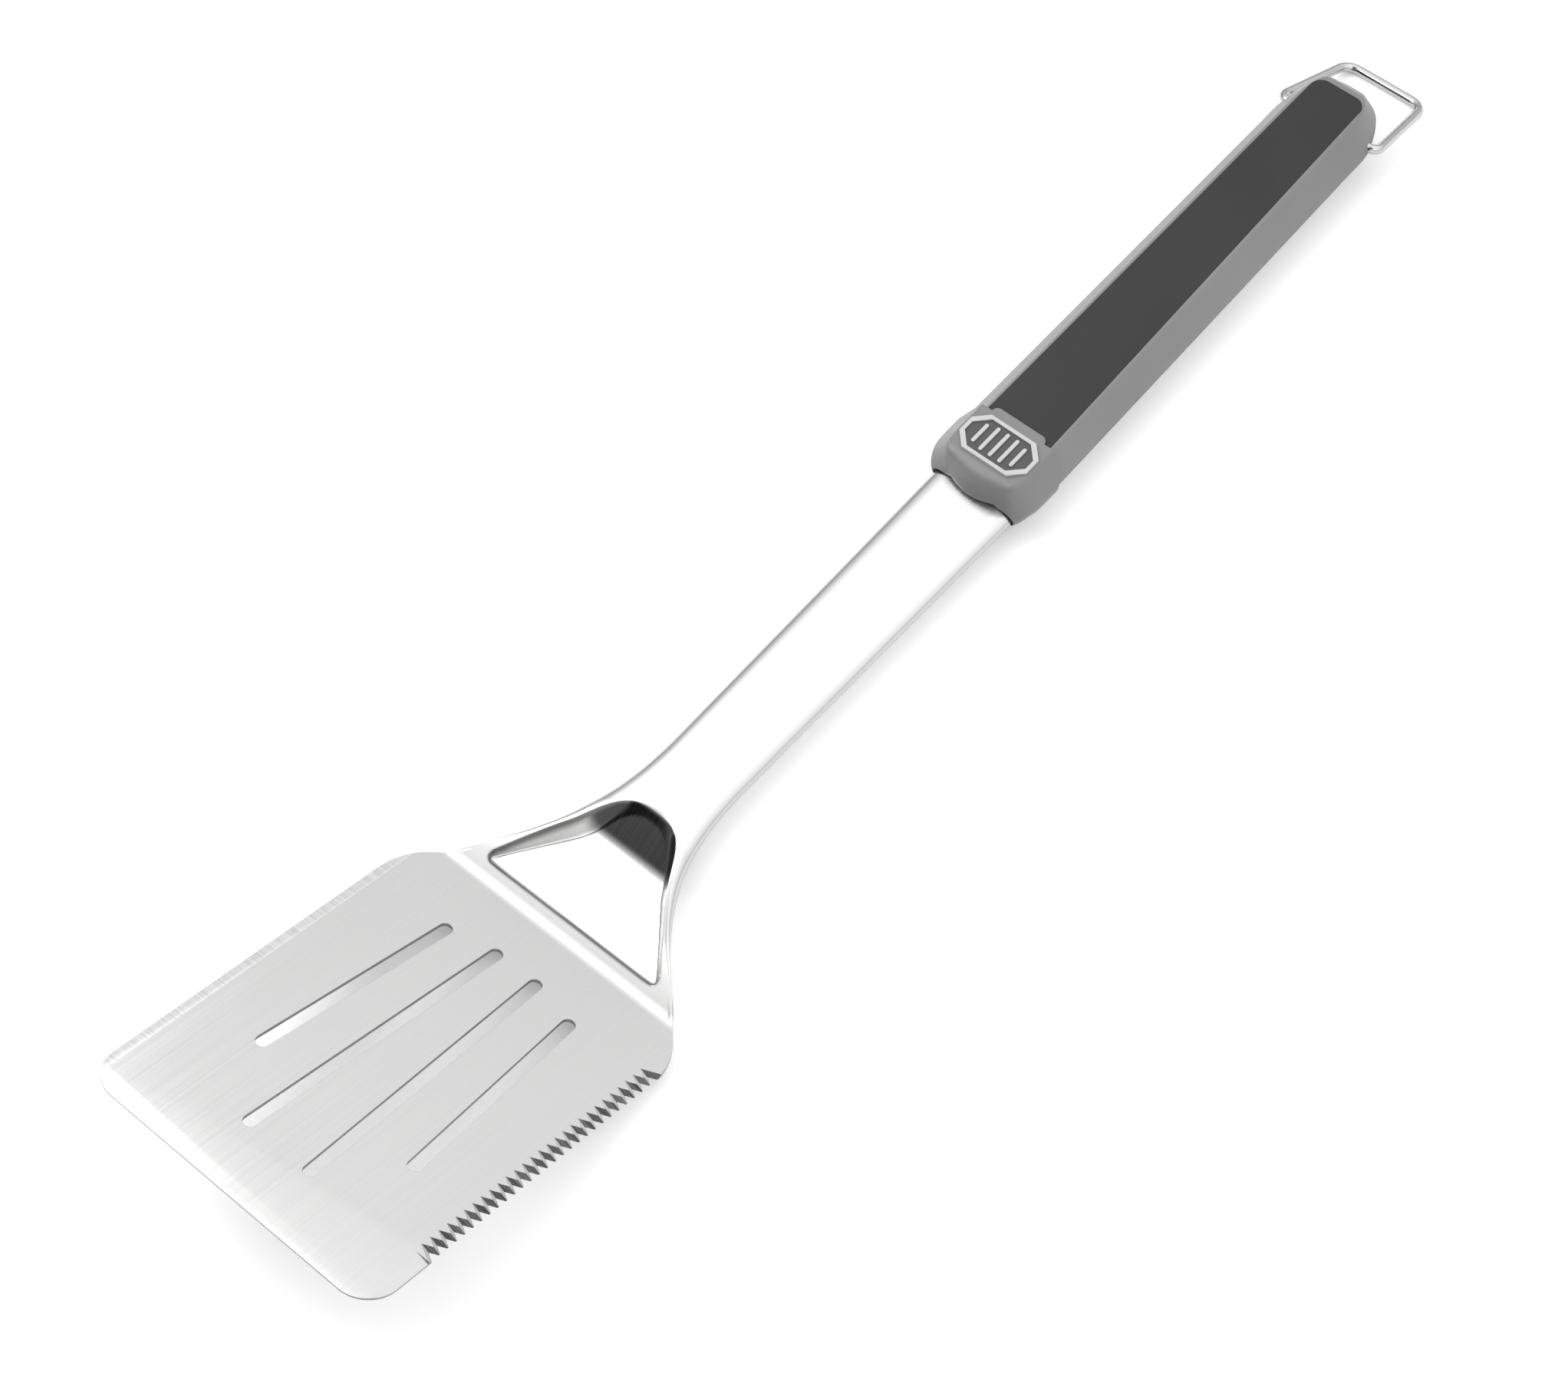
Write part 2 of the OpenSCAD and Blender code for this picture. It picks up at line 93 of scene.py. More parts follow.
def fillet(a, b, c, r, n):
    """n + 1 points that round corner b of an outline by radius r."""
    a, b, c = (np.array(p, float) for p in (a, b, c))
    u, v = (a - b) / np.linalg.norm(a - b), (c - b) / np.linalg.norm(c - b)
    half = math.acos(max(-1, min(1, float(u @ v)))) / 2
    cut = min(r / math.tan(half), 0.45 * np.linalg.norm(a - b), 0.45 * np.linalg.norm(c - b))
    s, e = b + u * cut, b + v * cut
    return [tuple((1 - t) ** 2 * s + 2 * t * (1 - t) * b + t * t * e) for t in (i / n for i in range(n + 1))]


# ---------- mesh helpers ----------

def new_object(name, verts, faces, smooth_deg):
    mesh = bpy.data.meshes.new(name)
    mesh.from_pydata([tuple(v) for v in verts], [], faces)
    mesh.validate()
    obj = bpy.data.objects.new(name, mesh)
    bpy.context.scene.collection.objects.link(obj)
    bm = bmesh.new()
    bm.from_mesh(mesh)
    bmesh.ops.recalc_face_normals(bm, faces=bm.faces)
    bm.to_mesh(mesh)
    bm.free()
    shade(obj, smooth_deg)
    return obj


def shade(obj, degrees):
    """Smooth shading that keeps edges sharper than this angle."""
    mesh = obj.data
    bm = bmesh.new()
    bm.from_mesh(mesh)
    limit = math.radians(degrees)
    for f in bm.faces:
        f.smooth = True
    for e in bm.edges:
        e.smooth = len(e.link_faces) == 2 and e.calc_face_angle(0.0) < limit
    bm.to_mesh(mesh)
    bm.free()


def loft(name, rings, smooth_deg, closed=True):
    """Skin through rings of equal length: a capped solid, or an open sheet if the rings aren't closed."""
    n = len(rings[0])
    verts = [place(p) for ring in rings for p in ring]
    faces = []
    for r in range(len(rings) - 1):
        for i in range(n if closed else n - 1):
            j = (i + 1) % n
            faces.append((r * n + i, r * n + j, (r + 1) * n + j, (r + 1) * n + i))
    if closed:
        faces.append(tuple(range(n)))
        faces.append(tuple(reversed(range((len(rings) - 1) * n, len(rings) * n))))
    return new_object(name, verts, faces, smooth_deg)


def bevel(obj, width_mm, segments, degrees):
    m = obj.modifiers.new("edge", "BEVEL")
    m.width = width_mm / 1000
    m.segments = segments
    m.limit_method = "ANGLE"
    m.angle_limit = math.radians(degrees)
    return m


def dress(obj, body, slot, material, *nodes):
    slots = obj.data.materials
    for i, m in enumerate(material if isinstance(material, list) else [material]):
        if i < len(slots):
            slots[i] = m
        else:
            slots.append(m)
    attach(obj, body)
    if nodes:
        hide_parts(*nodes)
    return obj


# ---------- materials ----------

class Nodes:
    """Small helper that builds a material's node tree."""

    def __init__(self, name):
        self.material = bpy.data.materials.new(name)
        self.material.use_nodes = True
        self.tree = self.material.node_tree
        self.bsdf = self.tree.nodes["Principled BSDF"]
        self.coords = self.tree.nodes.new("ShaderNodeTexCoord").outputs["Object"]

    def add(self, kind, **settings):
        node = self.tree.nodes.new(kind)
        for key, value in settings.items():
            setattr(node, key, value)
        return node

    def link(self, a, b):
        self.tree.links.new(a, b)

    def scaled(self, x, y, z):
        """Object coordinates stretched by these factors."""
        node = self.add("ShaderNodeMapping")
        node.inputs["Scale"].default_value = (x, y, z)
        self.link(self.coords, node.inputs["Vector"])
        return node.outputs["Vector"]

    def noise(self, vector, scale, detail=3.0, rough=0.5):
        node = self.add("ShaderNodeTexNoise")
        node.inputs["Scale"].default_value = scale
        node.inputs["Detail"].default_value = detail
        node.inputs["Roughness"].default_value = rough
        self.link(vector, node.inputs["Vector"])
        return node.outputs["Fac"]

    def spread(self, value, low, high):
        """Noise, which stays mostly between 0.3 and 0.7, as a number from low to high."""
        node = self.add("ShaderNodeMapRange")
        node.inputs["From Min"].default_value = 0.3
        node.inputs["From Max"].default_value = 0.7
        node.inputs["To Min"].default_value = low
        node.inputs["To Max"].default_value = high
        self.link(value, node.inputs["Value"])
        return node.outputs["Result"]

    def grey(self, value, low, high, tint=(1, 1, 1)):
        """The same as a ramp between two greys."""
        node = self.add("ShaderNodeValToRGB")
        node.color_ramp.elements[0].color = (*(low * t for t in tint), 1)
        node.color_ramp.elements[0].position = 0.3
        node.color_ramp.elements[1].color = (*(high * t for t in tint), 1)
        node.color_ramp.elements[1].position = 0.7
        self.link(value, node.inputs["Fac"])
        return node.outputs["Color"]

    def bump(self, value, depth_mm, strength=1.0):
        node = self.add("ShaderNodeBump")
        node.inputs["Strength"].default_value = strength
        node.inputs["Distance"].default_value = depth_mm / 1000
        self.link(value, node.inputs["Height"])
        self.link(node.outputs["Normal"], self.bsdf.inputs["Normal"])


def steel(name, base, rough, streak, depth, spread, painted_shade=False):
    """Brushed steel: fine streaks over a slow drift of grey, multiplied by the mesh's painted shade if
    asked.
    """
    n = Nodes(name)
    n.bsdf.inputs["Metallic"].default_value = 1.0
    lines = n.noise(n.scaled(*streak), 1.0, 4.0, 0.6)
    drift = n.noise(n.scaled(1, 1, 1), 14.0, 2.0)
    mix = n.add("ShaderNodeMath", operation="MULTIPLY_ADD")
    mix.inputs[1].default_value = 0.7
    n.link(lines, mix.inputs[0])
    part = n.add("ShaderNodeMath", operation="MULTIPLY")
    part.inputs[1].default_value = 0.3
    n.link(drift, part.inputs[0])
    n.link(part.outputs[0], mix.inputs[2])
    colour = n.grey(mix.outputs[0], base - spread, base + spread, (1, 1, 0.995))
    # The mesh's own attribute multiplies the colour here: painted shade and painted dark reflections.
    if painted_shade:
        attr = n.add("ShaderNodeAttribute", attribute_name="painted_shade")
        dark = n.add("ShaderNodeMix", data_type="RGBA", blend_type="MULTIPLY")
        dark.inputs["Factor"].default_value = 1.0
        n.link(colour, dark.inputs["A"])
        n.link(attr.outputs["Color"], dark.inputs["B"])
        colour = dark.outputs["Result"]
    n.link(colour, n.bsdf.inputs["Base Color"])
    n.link(n.spread(lines, rough - 0.05, rough + 0.06), n.bsdf.inputs["Roughness"])
    n.bump(lines, depth)
    return n.material


def moulded(name, low, high, rough, grain=900.0, depth=0.012, gloss=0.5):
    """Moulded plastic or rubber: a fine spark-eroded grain and a slow drift of colour."""
    n = Nodes(name)
    fine = n.noise(n.scaled(1, 1, 1), grain, 3.0, 0.6)
    slow = n.noise(n.scaled(1, 1, 1), 22.0, 3.0)
    n.link(n.grey(slow, low, high), n.bsdf.inputs["Base Color"])
    n.link(n.spread(fine, rough - 0.05, rough + 0.05), n.bsdf.inputs["Roughness"])
    n.bsdf.inputs["Specular IOR Level"].default_value = gloss
    n.bump(fine, depth, 0.6)
    return n.material


ALONG = (6.0, 2600.0, 6.0)       # streaks drawn out along X
ACROSS = (3200.0, 8.0, 8.0)      # streaks drawn out along Y
SPOTS = (300.0, 300.0, 300.0)    # no direction
BLADE_STEEL = steel("blade_steel", 0.565, 0.30, ALONG, depth=0.0012, spread=0.012)
# The neck and shank take a lighter copy of the blade's steel: a painted highlight, brought back to the
# blade's grey at the heel by the painted shade.
NECK_STEEL_PAINTED_HIGHLIGHT = steel("neck_steel_painted_highlight", 0.70, 0.24, ALONG, depth=0.0012, spread=0.015, painted_shade=True)
GROUND_STEEL = steel("ground_steel", 0.77, 0.30, ACROSS, depth=0.010, spread=0.08)
# The tooth facets take a darker, glossier copy of the ground steel: painted shade.
TOOTH_STEEL_PAINTED_SHADE = steel("tooth_steel_painted_shade", 0.54, 0.22, ACROSS, depth=0.008, spread=0.08)
# The front bevel takes a darker copy of the ground steel: painted shade.
FRONT_STEEL_PAINTED_SHADE = steel("front_steel_painted_shade", 0.56, 0.30, ALONG, depth=0.003, spread=0.02)
# The edge walls and the blade's rounded edges take a much darker copy of the steel: painted shade. The
# hidden tang rivets reuse it.
EDGE_STEEL_PAINTED_SHADE = steel("edge_steel_painted_shade", 0.26, 0.36, ALONG, depth=0.004, spread=0.05)
WIRE_STEEL = steel("wire_steel", 0.46, 0.12, SPOTS, depth=0.001, spread=0.02)
SHELL = moulded("shell_plastic", 0.163, 0.181, 0.42)
COLLAR = moulded("collar_plastic", 0.154, 0.170, 0.40)
GRIP = moulded("grip_rubber", 0.026, 0.031, 0.55, grain=1500.0, depth=0.02, gloss=0.2)
CORE = moulded("core_plastic", 0.05, 0.07, 0.5, depth=0.02)
PLAQUE = moulded("plaque_white", 0.40, 0.45, 0.35, depth=0.006)
FIELD = moulded("plaque_ground", 0.045, 0.055, 0.45, depth=0.01)


# ---------- blade: a copy of the CAD plate, cut off at the heel ----------

def blade_point(x, y, z):
    """From the blade's own frame (x from the front edge, z from the top face) to heel millimetres."""
    dx, dz = x - BLADE_L, z + SHEET
    c, s = math.cos(TILT), math.sin(TILT)
    return (dx * c + dz * s, y, dz * c - dx * s)


BLADE_METALS = [BLADE_STEEL, GROUND_STEEL, EDGE_STEEL_PAINTED_SHADE, FRONT_STEEL_PAINTED_SHADE, TOOTH_STEEL_PAINTED_SHADE]
FLAT, GROUND, EDGE, FRONT, TOOTH = range(5)
FLAT_COS, SLOPE_COS = 0.9995, 0.5     # how upright a face's normal is on the flats and on the ground slopes
FRONT_BEVEL_X, FRONT_BEVEL_HW = 7, 44    # the front bevel's faces lie this near the edge and the middle
FIRST_TOOTH_X = 21.5                     # behind this the other edge is toothed


def blade_metal(normal, x, y):
    """Which steel a face takes, from its normal and middle in the blade's own frame."""
    if abs(normal.z) > FLAT_COS:
        return FLAT
    # Upright faces, the edge walls, take the dark steel with painted shade.
    if normal.z <= SLOPE_COS:
        return EDGE
    # The tooth facets and the front bevel take darker copies of the steel with painted shade.
    if y < 0:
        return TOOTH if x > FIRST_TOOTH_X else FRONT
    return FRONT if x < FRONT_BEVEL_X and y < FRONT_BEVEL_HW else GROUND


def build_blade():
    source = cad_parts["blade_stamping"]
    obj = bpy.data.objects.new("blade", source.data.copy())
    bpy.context.scene.collection.objects.link(obj)
    bm = bmesh.new()
    bm.from_mesh(obj.data)
    bmesh.ops.remove_doubles(bm, verts=bm.verts, dist=2e-6)
    along = Vector((math.cos(TILT), 0, -math.sin(TILT)))
    heel = place(blade_point(BLADE_L - 0.02, 0, 0))
    bmesh.ops.bisect_plane(bm, geom=bm.verts[:] + bm.edges[:] + bm.faces[:], dist=1e-7,
                           plane_co=heel, plane_no=along, clear_outer=True)
    bmesh.ops.dissolve_limit(bm, angle_limit=math.radians(0.6), verts=bm.verts, edges=bm.edges)
    level = Matrix.Rotation(-TILT, 3, "Y")
    for f in bm.faces:
        middle = level @ (f.calc_center_median() - place((0, 0, 0))) * 1000
        f.material_index = blade_metal(level @ f.normal, middle.x + BLADE_L, middle.y)
    bm.to_mesh(obj.data)
    bm.free()
    shade(obj, 25)
    # The rounded edges take the dark steel with painted shade.
    bevel(obj, 0.12, 2, 35).material = EDGE
    return obj


blade = dress(build_blade(), "spatula", "stainless_blade", BLADE_METALS)

# ---------- neck and shank: one pressed sheet ----------
neck_side = curve_at([(6, 35.8), (20, 22.3), (31.5, SHANK_HW), (NECK_END, SHANK_HW)])
crown_side = curve_at([(0.41, 1.13), (10.2, 6.3), (24.6, CROWN_Z + 0.2), (CROWN_X, CROWN_Z)])
DISH_X, DISH_HW = 4.4, 32.3          # straight front crease and half its length
DISH_TURN_X, DISH_TURN_HW = 24.0, 18.5   # where the straight sides end
DISH_END = 41.6
PANEL_Z, PANEL_SLOPE = 1.9, 0.09
END_WALL_X, END_WALL_RAMP = 27.0, 4.0
HEEL_X0, HEEL_FILLET = 0.41, 1.8      # where blade and neck meet, and how far the bend reaches each way
NECK_RISE = 0.528                     # slope of the neck just behind that bend
HEEL_TUCK = 0.05                      # how far its first row dips under the blade
EDGE_A = 5.0                          # how far in the rounded edges of the shank reach
dish_arc = [bezier([(DISH_TURN_X, DISH_TURN_HW), (30.5, 13.3), (DISH_END, 12.0), (DISH_END, 0)], i / 24)
            for i in range(25)]


def half_width(x):
    if x < 6:
        return lerp(41.6, 35.8, (x + 0.6) / 6.6)
    if x < NECK_END:
        return neck_side(x)
    return lerp(SHANK_HW, SHANK_END_HW, (x - NECK_END) / (SHANK_END - NECK_END))


def crown(x):
    """Height of the neck along its middle, with a soft bend where it rises from the blade."""
    low = SHEET / math.cos(TILT) - HEEL_X0 * math.tan(TILT)
    down = -math.tan(TILT)
    t = x - HEEL_X0 + HEEL_FILLET
    if t < 2 * HEEL_FILLET:
        bend = (NECK_RISE - down) / (4 * HEEL_FILLET) * max(0.0, t) ** 2
        under = HEEL_TUCK if t < 0 else 0.0
        return low - HEEL_FILLET * down + t * down + bend - under
    if x < CROWN_X:
        return crown_side(x)
    return CROWN_Z - (x - CROWN_X) * math.tan(CROWN_FALL)


def dish_half(x):
    """Half width of the dish; past its end, where the columns open out again."""
    if x < DISH_TURN_X:
        return lerp(DISH_HW, DISH_TURN_HW, max(0.0, x - DISH_X) / (DISH_TURN_X - DISH_X))
    if x < DISH_END:
        return float(np.interp(x, [p[0] for p in dish_arc], [p[1] for p in dish_arc]))
    return 0.45 * half_width(x) * math.sqrt(1 - (1 - min(1, (x - DISH_END) / 10)) ** 2)


def dish_floor(x):
    """Panel that rises gently, then turns up into a straight end wall that meets the crown at the end."""
    start = PANEL_Z + PANEL_SLOPE * (min(x, END_WALL_X) - DISH_X)
    if x <= END_WALL_X:
        return start
    rise = crown(DISH_END) - start
    run = DISH_END - END_WALL_X - END_WALL_RAMP / 2
    steep = (rise - PANEL_SLOPE * END_WALL_RAMP / 2) / run
    t = min(1.0, (x - END_WALL_X) / END_WALL_RAMP)
    curved = END_WALL_RAMP * (PANEL_SLOPE * t + (steep - PANEL_SLOPE) * t * t / 2)
    return start + curved + steep * max(0.0, x - END_WALL_X - END_WALL_RAMP)


# The dish's outline on one side, from the middle of its front crease round to the middle of its end.
DISH_CORNER_R = 2.6
dish_corner = fillet((DISH_X, 0), (DISH_X, DISH_HW), (DISH_TURN_X, DISH_TURN_HW), DISH_CORNER_R, 8)
OUTLINE = np.array([(DISH_X, 0.0)] + dish_corner + dish_arc)


def dish_near(x, y):
    """Distance inward from the dish's outline, negative outside it."""
    p, a, b = np.array((x, abs(y))), OUTLINE[:-1], OUTLINE[1:]
    run = b - a
    t = np.clip(((p - a) * run).sum(1) / np.maximum((run * run).sum(1), 1e-12), 0, 1)
    away = np.sqrt(((a + run * t[:, None] - p) ** 2).sum(1)).min()
    crossed = (a[:, 1] > p[1]) != (b[:, 1] > p[1])
    at = a[:, 0] + (p[1] - a[:, 1]) * run[:, 0] / np.where(crossed, run[:, 1], 1)
    inside = int((crossed & (at > p[0])).sum()) % 2 == 1
    return float(away if inside else -away)


def dish_drop(x, y):
    """How far the pressed surface lies below the rim."""
    near = dish_near(x, y)
    if near <= 0:
        return 0.0
    reach = lerp(1.5, 3.0, smooth(6, 30, x))
    side = 1 - (1 - min(1.0, near / reach)) ** 2.2
    return max(0.0, crown(x) - dish_floor(x)) * side


def dish_painted_shade(x, y):
    """Painted shade on the neck's steel: brought down to the blade's grey at the heel, painted shade along
    the crease, and a painted dark reflection up the end wall and along both rolled edges of the shank.
    """
    near = dish_near(x, y)
    heel = lerp(0.81, 0.86, smooth(HEEL_X0 - HEEL_FILLET, HEEL_X0 + 0.6, x))
    heel = lerp(heel, 1.0, smooth(6, 14, x))
    # Painted dark reflection along both rolled edges of the shank.
    heel *= lerp(1.0, lerp(0.70, 1.0, smooth(0.5, EDGE_A, half_width(x) - abs(y))), smooth(8, 20, x))
    if near < -1.5:
        return heel
    # Painted shade along the crease, and a painted dark reflection up the end wall.
    width = lerp(0.50, 0.38, smooth(6, 12, x))
    line = 0.74 * math.exp(-((near - 0.2) / width) ** 2)
    wall = 0.86 * smooth(26.8, 31.4, x) * smooth(-0.3, 0.5, near)
    return heel * (1 - max(line, wall))


def neck_rows():
    xs = [HEEL_X0 - HEEL_FILLET - 0.3]
    xs += list(np.arange(HEEL_X0 - HEEL_FILLET, DISH_X - 0.9, 0.3))
    xs += list(np.arange(DISH_X - 0.8, DISH_X + 3.4, 0.2))
    xs += list(np.arange(DISH_X + 3.6, 32, 0.45))
    xs += [32 + (DISH_END - 32) * math.sin(i * math.pi / 64) for i in range(33)]
    xs += [DISH_END + 10 * (1 - math.cos(i * math.pi / 24)) for i in range(1, 13)]
    xs += list(np.arange(54.0, NECK_END, 1.5))
    xs += list(np.linspace(NECK_END, SHANK_END, 40))
    return sorted(set(round(float(x), 4) for x in xs))


def neck_columns(x):
    """Half of one row, from the centre out: (y, drop below the crown)."""
    hw = half_width(x)
    grow = smooth(1.0, 30.0, x)
    b = 0.15 + (ROLL_R - 0.15) * grow
    flange = (ROLL_DEPTH - ROLL_R) * grow + 0.02
    dish = min(dish_half(x), hw - 0.6)
    a = min(0.15 + EDGE_A * grow, hw - dish - 0.2)
    wall = min(lerp(3.2, 5.0, smooth(8, 30, x)), 0.6 * dish)
    ys = [lerp(0, dish - wall, i / 10) for i in range(10)]
    ys += [dish - wall * (1 - i / 16) for i in range(16)]
    ys += [lerp(dish, hw - a, i / 6) for i in range(7)]
    rows = [(y, 0.0) for y in ys]
    for i in range(1, 11):
        t = math.radians(90 * i / 10)
        rows.append((hw - a + a * math.sin(t), b * (1 - math.cos(t))))
    rows.append((hw, b + flange))
    return rows


def build_neck():
    xs = neck_rows()
    rings = []
    for x in xs:
        half = neck_columns(x)
        row = []
        for side in (-1, 1):
            part = [(x, side * y, crown(x) - drop - dish_drop(x, y)) for y, drop in half]
            row += reversed(part[1:]) if side < 0 else part
        rings.append(row)
    obj = loft("neck_and_shank", rings, smooth_deg=48, closed=False)
    solid = obj.modifiers.new("sheet", "SOLIDIFY")
    solid.thickness = SHEET / 1000
    solid.offset = -1
    solid.use_even_offset = False
    return obj


neck = build_neck()
if sum(p.normal.z * p.area for p in neck.data.polygons) < 0:
    neck.data.flip_normals()
# Painted shade kept on the sheet's points: darker at the heel, along the crease, up the end wall and along
# the rolled edges.
painted_shade = neck.data.color_attributes.new("painted_shade", "FLOAT_COLOR", "POINT")
for v in neck.data.vertices:
    grey = dish_painted_shade(v.co.x * 1000 - HEEL_X, v.co.y * 1000)
    painted_shade.data[v.index].color = (grey, grey, grey, 1)
dress(neck, "spatula", "stainless_blade", NECK_STEEL_PAINTED_HIGHLIGHT)
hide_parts("blade_stamping")

# ---------- handle shells ----------
TOP_RISE = (TAIL_TOP - HANDLE_TOP) / (FLAT_END - GRIP_FRONT)
CAP_X, BODY_X, TAIL_X = 338.0, 186.5, 356.0


def along(x):
    return (x - GRIP_FRONT) / (FLAT_END - GRIP_FRONT)


def top_at(x):
    return HANDLE_TOP + TOP_RISE * (x - GRIP_FRONT)


def low_at(x):
    return lerp(0.7, 0.0, along(x))


def crease_at(x):
    return top_at(x) - lerp(6.9, 9.0, along(x))


def handle_stations():
    """Rows of x, flat half width, half width, top, crease, low and corner radius."""
    rows = []
    for x in np.linspace(BODY_X, CAP_X, 20):
        flat = lerp(11.9, 9.8, (x - BODY_X) / (CAP_X - BODY_X))
        hw = lerp(17.3, 15.9, (x - GRIP_FRONT) / (CAP_X - GRIP_FRONT))
        rows.append((x, flat, hw, top_at(x), crease_at(x), low_at(x), 1.6))
    rows += [
        (342.5, 9.5, 14.8, top_at(342.5), crease_at(342.5), 0.0, 1.6),
        (346.8, 8.4, 13.0, top_at(346.8), crease_at(346.8), 0.4, 1.6),
        (FLAT_END, 6.6, 11.7, TAIL_TOP, 13.4, 1.6, 1.6),
        (352.2, 5.0, 9.5, TAIL_TOP - 3.6, 13.2, 4.4, 1.5),
        (354.6, 3.0, 6.4, 16.0, 12.9, 8.0, 1.2),
        (TAIL_X - 0.05, 1.8, 3.2, 14.0, 12.7, 10.0, 0.7),
    ]
    return rows


SIDE_H = 1.5


def rounded(pts, r, n, flats=6):
    """Closed outline with its corners rounded by r and extra points along its flats."""
    corners = [fillet(pts[i - 1], pts[i], pts[(i + 1) % len(pts)], r, n) for i in range(len(pts))]
    out = []
    for i, corner in enumerate(corners):
        follow = corners[(i + 1) % len(corners)][0]
        out += corner
        out += [tuple(lerp(a, b, k / flats) for a, b in zip(corner[-1], follow)) for k in range(1, flats)]
    return out


def section(flat, hw, top, crease, low, r):
    """Closed outline in y and z, anticlockwise from the right, with all corners rounded."""
    return rounded([(hw, crease - SIDE_H), (hw, crease), (flat, top), (-flat, top),
                    (-hw, crease), (-hw, crease - SIDE_H), (-flat, low), (flat, low)], r, 6)


def half_section(flat, hw, top, crease, low, r, upper):
    """The part of the section above or below the joint between the shells, ends turned in a little."""
    mid = crease - SIDE_H / 2
    if upper:
        right = [(hw - 0.5, mid + 0.1), (hw, mid + 0.12), (hw, crease), (flat, top)]
    else:
        right = [(hw - 0.5, mid - 0.1), (hw, mid - 0.12), (hw, crease - SIDE_H), (flat, low)]
    pts = right + [(-y, z) for y, z in reversed(right)]
    radii = (None, 0.15, r, r, r, r, 0.15, None)
    out = [pts[0]]
    for i in range(1, 7):
        out += fillet(pts[i - 1], pts[i], pts[i + 1], radii[i], 6 if radii[i] > 0.2 else 2)
    out.append(pts[7])
    return out


def catmull(rows, count):
    """Smooth stations through the given ones."""
    rows = np.array(rows, float)
    out = []
    for k in range(len(rows) - 1):
        p0, p1, p2, p3 = rows[max(k - 1, 0)], rows[k], rows[k + 1], rows[min(k + 2, len(rows) - 1)]
        for i in range(count):
            t = i / count
            out.append(0.5 * (2 * p1 + (p2 - p0) * t + (2 * p0 - 5 * p1 + 4 * p2 - p3) * t * t
                              + (3 * p1 - p0 - 3 * p2 + p3) * t**3))
    out.append(rows[-1])
    return out


def build_shell(name, upper):
    stations = handle_stations()
    rings = []
    for x, flat, hw, top, crease, low, r in stations[:18] + catmull(stations[18:], 5):
        outline = half_section(flat, hw, top, crease, max(0.0, low), max(0.3, r), upper)
        rings.append([(x, y, z) for y, z in outline])
    return loft(name, rings, smooth_deg=50)


dress(build_shell("shell_upper", True), "spatula", "handle_shell", SHELL, "upper_shell")
dress(build_shell("shell_lower", False), "spatula", "handle_shell", SHELL, "lower_shell")


# ---------- soft grip inlays ----------

GRIP_HW, GRIP_TAIL_HW, GRIP_CORNER_R = 11.3, 9.0, 4.0
GRIP_UNDER_COLLAR = 192.0            # the upper inlay runs on under the collar's tongue
GRIP_T = 1.7


def build_grip(name, top):
    """Rounded slab set into the shell, 0.2 mm proud above and just under the face below."""
    turn = math.atan((GRIP_HW - GRIP_TAIL_HW) / (GRIP_TAIL - GRIP_FRONT))
    front = GRIP_UNDER_COLLAR if top else GRIP_FRONT
    start = GRIP_HW + (GRIP_FRONT - front) * math.tan(turn)
    outline = fillet((front, 0), (front, start), (front + 20, start), 0.3, 3)
    for i in range(13):
        a = lerp(math.pi / 2 - turn, 0, i / 12)
        outline.append((GRIP_TAIL + GRIP_CORNER_R * (math.cos(a) - 1),
                        GRIP_TAIL_HW + GRIP_CORNER_R * (math.sin(a) - 1)))
    outline += [(x, -y) for x, y in reversed(outline)]

    def ring(inset, dz):
        """The outline drawn in by inset, dz above the slab's face."""
        cx = (front + GRIP_TAIL) / 2
        pts = []
        for x, y in outline:
            px = x - math.copysign(min(inset, abs(x - cx)), x - cx)
            py = y * (1 - inset / 11.0)
            base = top_at(px) + 0.2 if top else low_at(px) + 0.1
            pts.append((px, py, base + dz if top else base - dz))
        return pts

    rings = [ring(0, -GRIP_T), ring(0, -0.45), ring(0.06, -0.2), ring(0.22, -0.06), ring(0.5, 0)]
    return loft(name, rings, smooth_deg=60)


dress(build_grip("grip_upper", True), "spatula", "grip", GRIP, "top_grip")
dress(build_grip("grip_lower", False), "spatula", "grip", GRIP, "under_grip")

# ---------- collar ----------
COLLAR_TOP, COLLAR_HW = 19.9, 18.4
OPEN_HW, OPEN_LOW, OPEN_HIGH, OPEN_R = 14.35, 5.0, 10.85, 2.7
REAR_X, REAR_LOW_X = 194.6, 188.0
LEAN_HIGH, LEAN_LOW = 18.2, 9.0
COLLAR_FRONT = 174.4                 # front of the collar at its sides, behind its nose
NOSE, NOSE_HW = 1.8, 9.0


def collar_rear(z):
    """The rear edge leans forward down each side."""
    return lerp(REAR_LOW_X, REAR_X, min(1.0, max(0.0, (z - LEAN_LOW) / (LEAN_HIGH - LEAN_LOW))))


def towards(outline, centre, point):
    """Where the line from centre to point leaves a convex outline."""
    dy, dz = point[0] - centre[0], point[1] - centre[1]
    best = 0.0
    for (ay, az), (by, bz) in zip(outline, outline[1:] + outline[:1]):
        ey, ez = by - ay, bz - az
        det = dy * -ez + dz * ey
        if abs(det) < 1e-12:
            continue
        t = ((ay - centre[0]) * -ez + (az - centre[1]) * ey) / det
        u = (dy * (az - centre[1]) - dz * (ay - centre[0])) / det
        if t > 0 and -1e-6 <= u <= 1 + 1e-6:
            best = max(best, t)
    return centre[0] + dy * best, centre[1] + dz * best


